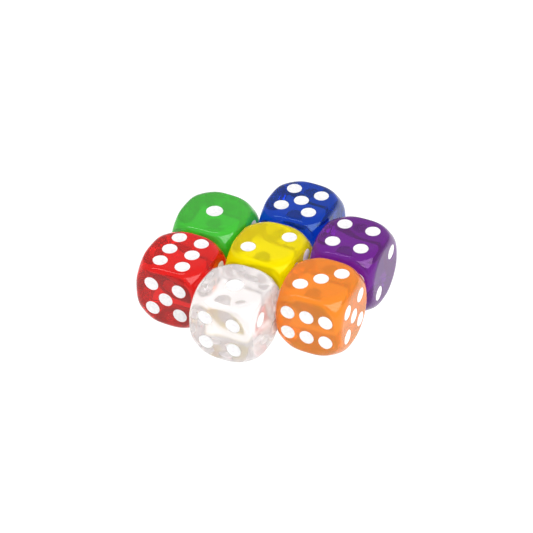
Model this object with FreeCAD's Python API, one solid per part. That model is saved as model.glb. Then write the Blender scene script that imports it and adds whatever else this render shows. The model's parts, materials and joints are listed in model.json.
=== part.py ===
import FreeCAD, Part
import os
from math import hypot

# A set of seven large acrylic dice, standing close together on a flat surface.
# Each die is one cast and polished acrylic cube with ball-rounded corners and shallow
# round recesses, and the recesses of each face are filled with white enamel.
# Millimetres, +Z up. The origin is on the surface, under the middle of the whole group.

Vector = FreeCAD.Vector

# ---- One die ----------------------------------------------------------------
DIE_SIZE = 50.0         # from face to opposite face
EDGE_RADIUS = 5.35      # round that blends every edge
FLAT_RADIUS = 21.4      # circle that trims the corners of each flat face
RECESS_RADIUS = 5.7     # rim of a pip's recess, in the face
ONE_RADIUS = 6.4        # rim of the larger recess of the single pip of the 1
RECESS_DEPTH = 1.8      # depth at the recess's middle
ENAMEL_DROP = 0.25      # how far the enamel's surface lies below the face

# ---- Pip patterns: distances from a face's middle ---------------------------
DIAGONAL_OFFSET = 10.8  # outer pips of the 2 and the 3, each way
SQUARE_OFFSET = 10.75   # outer pips of the 4 and the 5, each way
SIX_ALONG = 14.3        # outer pips of the 6, along its rows of three
SIX_ACROSS = 8.8        # the two rows of the 6, each side of the middle

# ---- How the dice stand together --------------------------------------------
COLUMN_GAP = 0.8        # between neighbouring columns, from face to face
LEFT_ROW_GAP = 2.0      # between the two dice of the left column
MIDDLE_ROW_GAP = 3.3    # between the three dice of the middle column
RIGHT_ROW_GAP = 2.6     # between the two dice of the right column
LEFT_SHIFT = -9.9       # middle of the left column, back from the yellow die's middle
RIGHT_SHIFT = 4.1       # middle of the right column, back from the yellow die's middle

OFFSET_TOLERANCE = 1e-4

X, Y, Z = Vector(1, 0, 0), Vector(0, 1, 0), Vector(0, 0, 1)

# Each number's side of an unturned die, and the way its rows run. Opposite sides add
# up to seven.
SIDES = {
    1: (Y, X),
    2: (-X, Y),
    3: (Z, X),
    4: (-Z, X),
    5: (X, Y),
    6: (-Y, X),
}

# Each column: its place to the right of the middle one, its shift and its row gap.
COLUMNS = {
    "left": (-1, LEFT_SHIFT, LEFT_ROW_GAP),
    "middle": (0, 0.0, MIDDLE_ROW_GAP),
    "right": (1, RIGHT_SHIFT, RIGHT_ROW_GAP),
}

# Each die: the numbers on its top and its front, its column, its place in the column in
# dice back from the column's middle, and how many degrees it is turned from square.
DICE = {
    "green": (1, 2, "left", 0.5, -1.0),
    "red": (6, 5, "left", -0.5, -0.4),
    "blue": (5, 4, "middle", 1, -0.3),
    "yellow": (2, 4, "middle", 0, 0.0),
    "clear": (1, 4, "middle", -1, -0.5),
    "purple": (4, 6, "right", 0.5, 1.0),
    "orange": (3, 6, "right", -0.5, 0.6),
}


def pip_places(number):
    """The pips of one face, as distances along its rows and across them."""
    square = SQUARE_OFFSET
    diagonal = DIAGONAL_OFFSET
    middle = [(0.0, 0.0)] if number % 2 else []
    if number in (2, 3):
        return middle + [(diagonal, diagonal), (-diagonal, -diagonal)]
    if number in (4, 5):
        return middle + [(a, b) for a in (-square, square) for b in (-square, square)]
    if number == 6:
        return [(a, b) for a in (-SIX_ALONG, 0.0, SIX_ALONG) for b in (-SIX_ACROSS, SIX_ACROSS)]
    return middle


def rounded_cube(skin):
    """A cube's core, trimmed by a ball and then grown outwards by the skin's thickness."""
    core_half = DIE_SIZE / 2 - EDGE_RADIUS
    core_ball = hypot(core_half, FLAT_RADIUS)
    corner = Vector(-core_half, -core_half, -core_half)
    core = Part.makeBox(2 * core_half, 2 * core_half, 2 * core_half, corner)
    core = core.common(Part.makeSphere(core_ball))
    return core.makeOffsetShape(skin, OFFSET_TOLERANCE, join=0)


def pip_balls(number):
    """The balls whose lower caps are the recesses of one face."""
    outwards, along = SIDES[number]
    across = outwards.cross(along)
    rim = ONE_RADIUS if number == 1 else RECESS_RADIUS
    ball_radius = (rim ** 2 + RECESS_DEPTH ** 2) / (2 * RECESS_DEPTH)
    height = DIE_SIZE / 2 - RECESS_DEPTH + ball_radius
    return [
        Part.makeSphere(ball_radius, outwards * height + along * a + across * b)
        for a, b in pip_places(number)
    ]


def enamel(number):
    """The enamel in each recess of one face, one solid per pip."""
    below_surface = rounded_cube(EDGE_RADIUS - ENAMEL_DROP)
    return Part.makeCompound([ball.common(below_surface) for ball in pip_balls(number)])


def cube_with_recesses():
    """The acrylic body of a die, about its own middle."""
    balls = [ball for number in SIDES for ball in pip_balls(number)]
    return rounded_cube(EDGE_RADIUS).cut(balls)


def stood(shape, die):
    """A copy of a shape, turned so that the die shows its numbers, and put in its place."""
    top, front, column, row, turn = DICE[die]
    up = SIDES[top][0]
    forward = SIDES[front][0]
    to_side = FreeCAD.Rotation(forward.cross(up) * -1, forward * -1, up, "ZXY").inverted()
    swivel = FreeCAD.Rotation(Z, turn)
    across, shift, row_gap = COLUMNS[column]
    x = across * (DIE_SIZE + COLUMN_GAP)
    y = row * (DIE_SIZE + row_gap) + shift
    place = FreeCAD.Placement(Vector(x, y, DIE_SIZE / 2), swivel.multiply(to_side))
    return shape.transformed(place.toMatrix())


def main():
    body = cube_with_recesses()
    fills = {number: enamel(number) for number in SIDES}
    nodes = {}
    for die in DICE:
        nodes[die + "_cube"] = stood(body, die)
        for number, fill in fills.items():
            nodes[f"{die}_pips_{number}"] = stood(fill, die)

    cubes = Part.makeCompound([nodes[die + "_cube"] for die in DICE])
    box = cubes.optimalBoundingBox(False)
    to_origin = Vector(-box.Center.x, -box.Center.y, 0)
    os.makedirs("parts", exist_ok=True)
    for name, shape in nodes.items():
        shape.translate(to_origin)
        shape.exportStep(f"parts/{name}.step")
        print(name, len(shape.Solids), "solids", round(shape.Volume, 2), "mm3", shape.isValid())
    print("whole set", round(box.XLength, 2), "x", round(box.YLength, 2), "x", round(box.ZLength, 2))


main()
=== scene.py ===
# %% [markdown]
# # Seven large see-through dice
#
# The object is a loose set of seven solid acrylic dice: green, red, blue, yellow, colourless,
# purple and orange. Each die is one cast block with ball-turned corners. Its spots are
# shallow round recesses, filled by hand with white enamel. A die could be faked with a
# bevelled box and painted circles, but light runs right through these dice, so the block,
# its recesses and the enamel in them have to be real shapes that meet as they do on the
# bench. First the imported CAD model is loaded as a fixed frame: every place below is read
# from it.

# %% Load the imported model
import json
from math import cos, radians, sin, sqrt

import bpy
from mathutils import Matrix, Vector

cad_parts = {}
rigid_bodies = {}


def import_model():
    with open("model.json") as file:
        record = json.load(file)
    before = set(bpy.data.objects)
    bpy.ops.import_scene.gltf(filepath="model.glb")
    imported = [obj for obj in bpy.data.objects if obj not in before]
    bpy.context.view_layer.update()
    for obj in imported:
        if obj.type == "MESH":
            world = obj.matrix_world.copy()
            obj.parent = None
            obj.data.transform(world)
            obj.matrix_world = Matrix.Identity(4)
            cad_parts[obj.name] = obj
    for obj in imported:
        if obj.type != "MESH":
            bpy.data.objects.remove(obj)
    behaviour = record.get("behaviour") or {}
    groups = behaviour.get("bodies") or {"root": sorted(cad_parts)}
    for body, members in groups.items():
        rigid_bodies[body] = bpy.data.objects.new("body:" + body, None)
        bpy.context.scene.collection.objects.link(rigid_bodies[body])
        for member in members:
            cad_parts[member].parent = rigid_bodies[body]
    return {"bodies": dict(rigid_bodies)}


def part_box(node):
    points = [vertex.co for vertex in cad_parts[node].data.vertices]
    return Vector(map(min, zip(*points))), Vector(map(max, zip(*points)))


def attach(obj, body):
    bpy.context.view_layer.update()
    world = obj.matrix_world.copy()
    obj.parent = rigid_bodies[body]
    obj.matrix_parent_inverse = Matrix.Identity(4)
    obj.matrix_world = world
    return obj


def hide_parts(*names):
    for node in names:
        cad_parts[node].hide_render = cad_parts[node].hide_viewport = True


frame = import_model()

MM = 0.001
SMOOTH_BELOW = radians(25)
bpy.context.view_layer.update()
colours = [body.removesuffix("_die") for body in frame["bodies"]]
print("dice:", ", ".join(colours))

# %% [markdown]
# ## The camera
#
# The camera comes first, so that every later picture is judged from one place. It could sit
# close with a short lens, but the dice show almost no perspective: their far edges are
# nearly as long as their near ones. So it is a long lens, well back and looking down on the
# group, which also keeps every die the same apparent size.

# %% Set up the camera
LENS = 165
CAMERA_DISTANCE = 1.73
CAMERA_AZIMUTH = 26.9
CAMERA_ELEVATION = 38.4
CAMERA_ROLL = 1.4
AIM_FROM_YELLOW = Vector((-3.4, 2.2, 0)) * MM


def middle_of(node):
    low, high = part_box(node)
    return (low + high) / 2


def direction(azimuth, elevation):
    """A unit vector from the dice: azimuth 0 is in front, 90 to the right."""
    a, e = radians(azimuth), radians(elevation)
    return Vector((sin(a) * cos(e), -cos(a) * cos(e), sin(e)))


aim = middle_of("yellow_cube") + AIM_FROM_YELLOW
turn = Matrix.Rotation(radians(CAMERA_AZIMUTH), 4, "Z")
tilt = Matrix.Rotation(radians(90 - CAMERA_ELEVATION), 4, "X")
roll = Matrix.Rotation(radians(-CAMERA_ROLL), 4, "Z")
camera_place = aim + direction(CAMERA_AZIMUTH, CAMERA_ELEVATION) * CAMERA_DISTANCE
bpy.ops.object.camera_add(location=camera_place, rotation=(turn @ tilt @ roll).to_euler())
camera = bpy.context.object
camera.data.lens = LENS
camera.data.clip_end = 20
bpy.context.scene.camera = camera
print("camera at, m:", [round(x, 3) for x in camera_place])

# %% [markdown]
# ## The sizes of one die
#
# The overall size and every die's place are read from the CAD nodes. The few sizes that a
# node's box can't tell are named here. Those of the recesses are as on the CAD drawing. The
# three radii of the blank are not: the drawing has one plain round, and a real die that has
# been tumbled has wider, softer rims, so the outer shape differs by a few tenths of a
# millimetre.

# %% Name the sizes
die_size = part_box("yellow_cube")[1].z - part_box("yellow_cube")[0].z
half = die_size / 2
BALL_RADIUS = 34.75 * MM
RIM_RADIUS = 9.7 * MM
EDGE_RADIUS = 4.7 * MM
RECESS_RADIUS = 5.7 * MM
ONE_RADIUS = 6.4 * MM
RECESS_DEPTH = 1.8 * MM
ENAMEL_DROP = 0.25 * MM
TRIM_SLACK = 0.01 * MM
DIAGONAL_OFFSET = 10.8 * MM
SQUARE_OFFSET = 10.75 * MM
SIX_ALONG = 14.3 * MM
SIX_ACROSS = 8.8 * MM

flat_radius = sqrt((BALL_RADIUS - RIM_RADIUS) ** 2 - (half - RIM_RADIUS) ** 2)
print("die, mm:", round(die_size / MM, 2), " round flats, mm:", round(2 * flat_radius / MM, 2))

# %% [markdown]
# ## A few small helpers
#
# An operator acts on everything that is selected, and the loaded CAD nodes are selected. So
# each new shape starts from an empty selection, and one helper keeps that in one place.
# Another runs a modifier and bakes its result into the mesh at once, as a person would with
# the Apply button. Two more build on it, for booleans and for skins at a set distance from a
# shape. The last one puts copies of a shape in several places, each with its own mesh.

# %% Helpers for selecting and applying


def select_only(*pieces):
    bpy.ops.object.select_all(action="DESELECT")
    for piece in pieces:
        piece.select_set(True)
    bpy.context.view_layer.objects.active = pieces[-1] if pieces else None


def add(primitive, **settings):
    """Adds a primitive with nothing else selected, and returns it."""
    select_only()
    primitive(**settings)
    return bpy.context.object


def apply_modifier(piece, kind, **settings):
    select_only(piece)
    modifier = piece.modifiers.new(kind.title(), kind)
    for name, value in settings.items():
        setattr(modifier, name, value)
    bpy.ops.object.modifier_apply(modifier=modifier.name)


def cut_with(piece, tool, operation):
    """Runs a boolean on a piece with a tool shape, which is then thrown away."""
    apply_modifier(piece, "BOOLEAN", operation=operation, object=tool, solver="EXACT")
    bpy.data.objects.remove(tool)


def shrink_round(piece, target, distance):
    """Pulls a piece in until every point of it lies at one distance from the target."""
    apply_modifier(
        piece,
        "SHRINKWRAP",
        target=target,
        wrap_method="NEAREST_SURFACEPOINT",
        wrap_mode="ON_SURFACE",
        offset=distance,
    )


def copies_at(piece, places, name):
    """Copies of a piece at several places, joined into one."""
    copies = []
    for place in places:
        copy = bpy.data.objects.new(name, piece.data.copy())
        bpy.context.scene.collection.objects.link(copy)
        copy.data.transform(place)
        copies.append(copy)
    select_only(*copies)
    if len(copies) > 1:
        bpy.ops.object.join()
    joined = bpy.context.view_layer.objects.active
    joined.name = name
    return joined


# %% [markdown]
# ## The blank: a ball-turned cube
#
# A real die starts as a cube whose corners are turned to a ball, and tumbling then softens
# every rim. A bevelled box gives corners that are too small and too pointed, and a rounded
# box made by subdivision pulls its faces out of flat. Here it is done in two skins, both
# stretched with Shrinkwrap, which keeps every point at an exact distance. First a slab cut
# from a ball gets wide, tumbled rims, and three such slabs, one for each axis, share one
# core. Then a fine skin goes round that core, which rounds the edges between the faces.

# %% Make one slab with tumbled rims
SLAB_RINGS = 160
SLAB_SEGMENTS = 160
START_LARGER = 1.2      # how many times too large a skin starts, before it is pulled in

slab_half = half - RIM_RADIUS
inner_ball = BALL_RADIUS - RIM_RADIUS
slab = add(
    bpy.ops.mesh.primitive_uv_sphere_add,
    segments=SLAB_SEGMENTS,
    ring_count=SLAB_RINGS,
    radius=inner_ball,
)
for level, side in ((slab_half, 1), (-slab_half, -1)):
    bpy.ops.object.mode_set(mode="EDIT")
    bpy.ops.mesh.select_all(action="SELECT")
    bpy.ops.mesh.bisect(
        plane_co=(0, 0, level), plane_no=(0, 0, side), use_fill=True, clear_outer=True
    )
    bpy.ops.object.mode_set(mode="OBJECT")
tumbled = add(
    bpy.ops.mesh.primitive_uv_sphere_add,
    segments=SLAB_SEGMENTS,
    ring_count=SLAB_RINGS,
    radius=START_LARGER * BALL_RADIUS,
)
shrink_round(tumbled, slab, RIM_RADIUS - EDGE_RADIUS)
bpy.data.objects.remove(slab)
print("tumbled slab, mm:", [round(side / MM, 2) for side in tumbled.dimensions])

# %% Cross three slabs into the core
core = copies_at(tumbled, [Matrix()], "core")
for axis in ("X", "Y"):
    crossing = copies_at(tumbled, [Matrix.Rotation(radians(90), 4, axis)], "crossing")
    cut_with(core, crossing, "INTERSECT")
bpy.data.objects.remove(tumbled)
print("core faces:", len(core.data.polygons))

# %% Stretch the skin round it
SKIN_CUTS = 60


def skin_round(target, thickness, name):
    """A fine, even skin at one distance from a core."""
    skin = add(bpy.ops.mesh.primitive_cube_add, size=START_LARGER * die_size)
    skin.name = name
    bpy.ops.object.mode_set(mode="EDIT")
    bpy.ops.mesh.select_all(action="SELECT")
    bpy.ops.mesh.subdivide(number_cuts=SKIN_CUTS)
    bpy.ops.object.mode_set(mode="OBJECT")
    shrink_round(skin, target, thickness)
    return skin


blank = skin_round(core, EDGE_RADIUS, "blank")
lowered = skin_round(core, EDGE_RADIUS - ENAMEL_DROP + TRIM_SLACK, "lowered")
bpy.data.objects.remove(core)
print("blank, mm:", [round(side / MM, 2) for side in blank.dimensions])

# %% [markdown]
# ## Where the spots go
#
# Opposite sides of a die add up to seven. Each side is given by the way it faces and the
# way its rows run, and a short function lays out its spots. The two, three and six have a
# direction, so their rows have to run the right way and not only be on the right side.

# %% Lay out the spots
X, Y, Z = Vector((1, 0, 0)), Vector((0, 1, 0)), Vector((0, 0, 1))
SIDES = {1: (Y, X), 2: (-X, Y), 3: (Z, X), 4: (-Z, X), 5: (X, Y), 6: (-Y, X)}


def spots_of(number):
    """Distances of a side's spots from its middle, along its rows and across them."""
    middle = [(0, 0)] if number % 2 else []
    if number in (2, 3):
        return middle + [(DIAGONAL_OFFSET, DIAGONAL_OFFSET), (-DIAGONAL_OFFSET, -DIAGONAL_OFFSET)]
    if number in (4, 5):
        ends = (-SQUARE_OFFSET, SQUARE_OFFSET)
        return middle + [(a, b) for a in ends for b in ends]
    if number == 6:
        return [(a, b) for a in (-SIX_ALONG, 0, SIX_ALONG) for b in (-SIX_ACROSS, SIX_ACROSS)]
    return middle


def spot_places(number):
    """One matrix a spot: from a spot modelled at the origin, facing up, to its side."""
    outwards, along = SIDES[number]
    across = outwards.cross(along)
    facing = Matrix((along, across, outwards)).transposed().to_4x4()
    return [
        Matrix.Translation(outwards * half + along * a + across * b) @ facing
        for a, b in spots_of(number)
    ]


print("spots:", sum(len(spots_of(number)) for number in SIDES))

# %% [markdown]
# ## Drilling the recesses
#
# Each recess is the mark of a ball-nosed tool, and the single spot of the one is made with a
# larger tool. Painted discs would leave the face flat and the glassy rim of the recess
# missing. Each tool is modelled as a ball cut off just above the face. It is copied to all
# its places, so that one boolean drills the whole die and the tools never touch each other.

# %% Make the drilling tools
DRILL_SEGMENTS = 72
DRILL_RINGS = 60
TOOL_ABOVE_FACE = 0.3 * MM


def recess_radius(number):
    return ONE_RADIUS if number == 1 else RECESS_RADIUS


def drill_radius(number):
    """The radius of the ball that leaves a recess with the right rim and depth."""
    return (recess_radius(number) ** 2 + RECESS_DEPTH ** 2) / (2 * RECESS_DEPTH)


def ball_cap(name, radius, centre, top):
    """The part of a ball below a level, closed with a flat lid."""
    cap = add(
        bpy.ops.mesh.primitive_uv_sphere_add,
        segments=DRILL_SEGMENTS,
        ring_count=DRILL_RINGS,
        radius=radius,
        location=(0, 0, centre),
    )
    cap.name = name
    bpy.ops.object.transform_apply(location=True, rotation=False, scale=False)
    bpy.ops.object.mode_set(mode="EDIT")
    bpy.ops.mesh.select_all(action="SELECT")
    bpy.ops.mesh.bisect(
        plane_co=(0, 0, top), plane_no=(0, 0, 1), use_fill=True, clear_outer=True
    )
    bpy.ops.object.mode_set(mode="OBJECT")
    return cap


drills = []
for number in SIDES:
    ball = drill_radius(number)
    tool = ball_cap("drill", ball, ball - RECESS_DEPTH, TOOL_ABOVE_FACE)
    drills.append(copies_at(tool, spot_places(number), f"drills_{number}"))
    bpy.data.objects.remove(tool)
    print("drill for the", number, "radius, mm:", round(ball / MM, 2))

# %% Drill all the recesses
select_only(*drills)
bpy.ops.object.join()
cut_with(blank, bpy.context.object, "DIFFERENCE")
select_only(blank)
bpy.ops.object.shade_smooth_by_angle(angle=SMOOTH_BELOW)
print("drilled die, faces:", len(blank.data.polygons))

# %% [markdown]
# ## The enamel
#
# The enamel is flooded into the recess and dries a little hollow, lower in the middle than
# at its rim. A flat disc would look printed. The same ball gives its back, a hair larger
# than the recess, because paint wets acrylic and leaves no air between them. Its top is
# inset ring by ring, each ring a little deeper, which is how the hollow gets its curve. The
# outer spots of the six reach into the die's round, so they are trimmed to it.

# %% Make the spots of enamel
WETTING = 0.03 * MM
HOLLOW = 0.3 * MM
HOLLOW_RINGS = 6


def enamel_spot(number):
    """One spot of a side, modelled at the origin and facing up."""
    back = drill_radius(number) + WETTING
    centre = drill_radius(number) - RECESS_DEPTH
    rim = sqrt(back ** 2 - (centre + ENAMEL_DROP) ** 2)
    spot = ball_cap("spot", back, centre, -ENAMEL_DROP)
    bpy.ops.object.mode_set(mode="EDIT")
    bpy.ops.mesh.select_all(action="DESELECT")
    bpy.ops.object.mode_set(mode="OBJECT")
    lid = max(spot.data.polygons, key=lambda face: face.area)
    lid.select = True
    bpy.ops.object.mode_set(mode="EDIT")
    bpy.ops.mesh.select_mode(type="FACE")
    ring_width = rim / (HOLLOW_RINGS + 0.5)
    for ring in range(HOLLOW_RINGS):
        outer = 1 - ring * ring_width / rim
        inner = 1 - (ring + 1) * ring_width / rim
        step_down = HOLLOW * (outer ** 2 - inner ** 2)
        bpy.ops.mesh.inset(thickness=ring_width, depth=0)
        bpy.ops.transform.translate(value=(0, 0, -step_down))
    bpy.ops.object.mode_set(mode="OBJECT")
    print("spot of the", number, "rim, mm:", round(rim / MM, 2))
    return spot


enamel_sides = {}
for number in SIDES:
    spot = enamel_spot(number)
    side = copies_at(spot, spot_places(number), f"enamel_{number}")
    bpy.data.objects.remove(spot)
    if number == 6:
        cut_with(side, lowered, "INTERSECT")
    select_only(side)
    bpy.ops.object.shade_smooth_by_angle(angle=SMOOTH_BELOW)
    enamel_sides[number] = side
print("enamelled sides:", len(enamel_sides))

# %% [markdown]
# ## Acrylic
#
# Dyed acrylic gets its colour from how far light travels inside it, so thin edges glow and
# the middle is deep. A tinted glass surface would be equally dark everywhere. The colour is
# therefore an absorption inside the block. Some of the dyes are a little cloudy, which is a
# small share of plain colour at the surface. Cast acrylic is never quite flat, and handled
# dice carry a haze of fine rubbing marks.

# %% Helpers for materials
def link(tree, start, end):
    tree.links.new(start, end)


def node(tree, kind, **settings):
    made = tree.nodes.new(kind)
    for name, value in settings.items():
        if name in made.inputs:
            made.inputs[name].default_value = value
        else:
            setattr(made, name, value)
    return made


def new_material(name):
    """An empty material and its node tree, with the surface shader already in place."""
    material = bpy.data.materials.new(name)
    material.use_nodes = True
    tree = material.node_tree
    tree.nodes.clear()
    shader = node(tree, "ShaderNodeBsdfPrincipled")
    output = node(tree, "ShaderNodeOutputMaterial")
    link(tree, shader.outputs["BSDF"], output.inputs["Surface"])
    return material, tree, shader, output


def noise(tree, scale, detail=2.0, roughness=0.5, stretch=(1, 1, 1)):
    """Noise on Object coordinates, with its scale in features to the metre."""
    place = node(tree, "ShaderNodeTexCoord")
    mapping = node(tree, "ShaderNodeMapping")
    mapping.inputs["Scale"].default_value = stretch
    pattern = node(tree, "ShaderNodeTexNoise")
    pattern.inputs["Scale"].default_value = scale
    pattern.inputs["Detail"].default_value = detail
    pattern.inputs["Roughness"].default_value = roughness
    link(tree, place.outputs["Object"], mapping.inputs["Vector"])
    link(tree, mapping.outputs["Vector"], pattern.inputs["Vector"])
    return pattern


def spread(tree, value, low, high, start=0.0, end=1.0):
    """Maps a value from one range to another."""
    mapped = node(tree, "ShaderNodeMapRange")
    mapped.inputs["From Min"].default_value = start
    mapped.inputs["From Max"].default_value = end
    mapped.inputs["To Min"].default_value = low
    mapped.inputs["To Max"].default_value = high
    link(tree, value, mapped.inputs["Value"])
    return mapped.outputs["Result"]


# %% The acrylic material
ACRYLIC_IOR = 1.49
POLISHED = 0.02
RUBBED = 0.09
SWELL_DEPTH = 0.4 * MM
SWELL_STRENGTH = 0.04
SURFACE_SHINE = 0.32


def acrylic(name, surface, dye, strength, clear, sheen_tint, haze=0.0):
    """Dyed acrylic. The dye's colour is what passes, and clear is 1 for a dye with no cloud."""
    material, tree, shader, output = new_material(name)
    shader.inputs["Base Color"].default_value = (*surface, 1)
    shader.inputs["IOR"].default_value = ACRYLIC_IOR
    shader.inputs["Transmission Weight"].default_value = clear
    shader.inputs["Specular IOR Level"].default_value = SURFACE_SHINE
    shader.inputs["Specular Tint"].default_value = (*sheen_tint, 1)
    rubbed = noise(tree, 900, detail=4, stretch=(1, 0.25, 1))
    rubbing = spread(tree, rubbed.outputs["Fac"], POLISHED + haze, RUBBED + haze, 0.35, 0.8)
    link(tree, rubbing, shader.inputs["Roughness"])
    swell = noise(tree, 70, detail=1)
    bump = node(tree, "ShaderNodeBump")
    bump.inputs["Strength"].default_value = SWELL_STRENGTH
    bump.inputs["Distance"].default_value = SWELL_DEPTH
    link(tree, swell.outputs["Fac"], bump.inputs["Height"])
    link(tree, bump.outputs["Normal"], shader.inputs["Normal"])
    volume = node(tree, "ShaderNodeVolumeAbsorption")
    volume.inputs["Color"].default_value = (*dye, 1)
    volume.inputs["Density"].default_value = strength
    link(tree, volume.outputs["Volume"], output.inputs["Volume"])
    return material


# %% [markdown]
# ## The seven dyes
#
# Each dye is given by the surface tint, the colour that passes through it, how strongly it
# absorbs, how clear it is and the tint of its gloss. The green, the orange and the yellow
# are the cloudiest. The colourless die is a little milky, with a faint pink warmth and a
# soft haze, so that what is behind it blurs.

# %% Mix the dyes
NEUTRAL = (1.0, 1.0, 1.0)
DYES = {
    "green": acrylic(
        "green_acrylic", (0.075, 0.60, 0.05), (0.13, 0.98, 0.12), 36, 0.5, NEUTRAL
    ),
    "red": acrylic(
        "red_acrylic", (0.84, 0.02, 0.015), (0.98, 0.045, 0.035), 24, 0.78, (1.0, 0.7, 0.7)
    ),
    "blue": acrylic(
        "blue_acrylic", (0.005, 0.08, 0.46), (0.025, 0.50, 0.98), 26, 0.86, (0.5, 0.75, 1.0)
    ),
    "yellow": acrylic(
        "yellow_acrylic", (1.0, 0.84, 0.0), (1.0, 1.0, 0.01), 14, 0.6, (1.0, 0.95, 0.1)
    ),
    "clear": acrylic(
        "clear_acrylic", (1.0, 0.96, 0.955), (1.0, 0.945, 0.94), 1.5, 0.74, NEUTRAL, 0.05
    ),
    "purple": acrylic(
        "purple_acrylic", (0.26, 0.03, 0.38), (0.64, 0.10, 0.80), 34, 0.75, (0.9, 0.6, 1.0)
    ),
    "orange": acrylic(
        "orange_acrylic", (0.96, 0.37, 0.035), (1.0, 0.61, 0.07), 26, 0.6, (1.0, 0.85, 0.7)
    ),
}
print("acrylics:", len(DYES))

# %% [markdown]
# ## White enamel
#
# Hand-filled enamel is not an even white. It dries with faint cloudy patches and a slightly
# uneven gloss, so both its colour and its roughness get a fine noise, and a very small bump
# breaks up its reflection.

# %% The enamel material
CLOUDY_WHITE = (0.77, 0.755, 0.77, 1)
CLEAN_WHITE = (0.88, 0.88, 0.88, 1)


def white_enamel():
    material, tree, shader, _ = new_material("white_enamel")
    clouds = noise(tree, 450, detail=5, roughness=0.6)
    mix = node(tree, "ShaderNodeMix", data_type="RGBA")
    mix.inputs["A"].default_value = CLOUDY_WHITE
    mix.inputs["B"].default_value = CLEAN_WHITE
    link(tree, spread(tree, clouds.outputs["Fac"], 0, 1, 0.35, 0.6), mix.inputs["Factor"])
    link(tree, mix.outputs["Result"], shader.inputs["Base Color"])
    link(tree, spread(tree, clouds.outputs["Fac"], 0.3, 0.5), shader.inputs["Roughness"])
    bump = node(tree, "ShaderNodeBump")
    bump.inputs["Strength"].default_value = 0.3
    bump.inputs["Distance"].default_value = 0.05 * MM
    link(tree, clouds.outputs["Fac"], bump.inputs["Height"])
    link(tree, bump.outputs["Normal"], shader.inputs["Normal"])
    return material


enamel = white_enamel()

# %% [markdown]
# ## Making and placing the dice
#
# One drilled blank and one spot of enamel are copied for every die, each copy with its own
# mesh. How a die is turned is read from the CAD: the middle of the nodes of its five, one
# and three sides shows which way those sides face, and those three directions are a turned
# set of axes. Each piece rides on its die's body and stands for its CAD node.

# %% Place every die
def facing_of(colour, number):
    """The direction that one side of a die faces, from where its CAD spots lie."""
    return (middle_of(f"{colour}_pips_{number}") - middle_of(f"{colour}_cube")).normalized()


def place_of(colour):
    axes = Matrix([facing_of(colour, number) for number in (5, 1, 3)]).transposed()
    return Matrix.Translation(middle_of(f"{colour}_cube")) @ axes.to_4x4()


def finish_piece(piece, material, body, cad_node):
    piece.data.materials.clear()
    piece.data.materials.append(material)
    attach(piece, body)
    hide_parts(cad_node)


for colour in colours:
    place = place_of(colour)
    body = f"{colour}_die"
    block = copies_at(blank, [place], f"{colour}_block")
    finish_piece(block, DYES[colour], body, f"{colour}_cube")
    for number in SIDES:
        fill = copies_at(enamel_sides[number], [place], f"{colour}_enamel_{number}")
        finish_piece(fill, enamel, body, f"{colour}_pips_{number}")
    print(colour, "at, mm:", [round(x / MM, 2) for x in place.translation])

for pattern in (blank, *enamel_sides.values()):
    bpy.data.objects.remove(pattern)

# %% [markdown]
# ## The studio
#
# See-through things are lit from all round: what is behind them is what they show. A white
# floor that glows, like a light table, and an even surround do most of the work. A plain
# floor would leave the dice dark below. One large soft light on the right puts the
# three-cornered gleam on the near corners. It stands high, so that it doesn't flood the
# tops when they are seen from low down. A long narrow light on the left draws the thin
# line along the front edges.

# %% Floor and surround
FLOOR_DROP = 0.1 * MM
FLOOR_GLOW = 1.0
SURROUND_GLOW = 0.62

floor = add(bpy.ops.mesh.primitive_plane_add, size=8, location=(0, 0, -FLOOR_DROP))
floor.name = "floor"
floor_paint, floor_tree, floor_shader, _ = new_material("floor_paint")
floor_shader.inputs["Base Color"].default_value = (0.15, 0.15, 0.15, 1)
floor_shader.inputs["Roughness"].default_value = 0.9
floor_shader.inputs["Specular IOR Level"].default_value = 0.0
floor_shader.inputs["Emission Color"].default_value = (1, 1, 1, 1)
floor_shader.inputs["Emission Strength"].default_value = FLOOR_GLOW
floor.data.materials.append(floor_paint)

scene = bpy.context.scene
scene.world = bpy.data.worlds.new("surround")
scene.world.use_nodes = True
surround = scene.world.node_tree.nodes["Background"]
surround.inputs["Color"].default_value = (1, 1, 1, 1)
surround.inputs["Strength"].default_value = SURROUND_GLOW
scene.view_settings.view_transform = "Standard"
scene.cycles.max_bounces = 24
scene.cycles.transmission_bounces = 24
scene.cycles.glossy_bounces = 12
scene.cycles.diffuse_bounces = 6


# %% Soft lights
def soft_light(name, azimuth, elevation, distance, width, height, power):
    towards = direction(azimuth, elevation)
    place = aim + towards * distance
    bpy.ops.object.light_add(type="AREA", location=place)
    light = bpy.context.object
    light.name = name
    light.rotation_euler = towards.to_track_quat("Z", "Y").to_euler()
    light.data.shape = "RECTANGLE"
    light.data.size = width
    light.data.size_y = height
    light.data.energy = power
    light.visible_camera = False
    return light


soft_light("right_light", 61, 37, 1.0, 0.95, 0.62, 8.5)
soft_light("line_light", -60, 60, 1.0, 0.12, 1.2, 2.6)
print("lights: two soft lights, an even surround and a glowing floor")
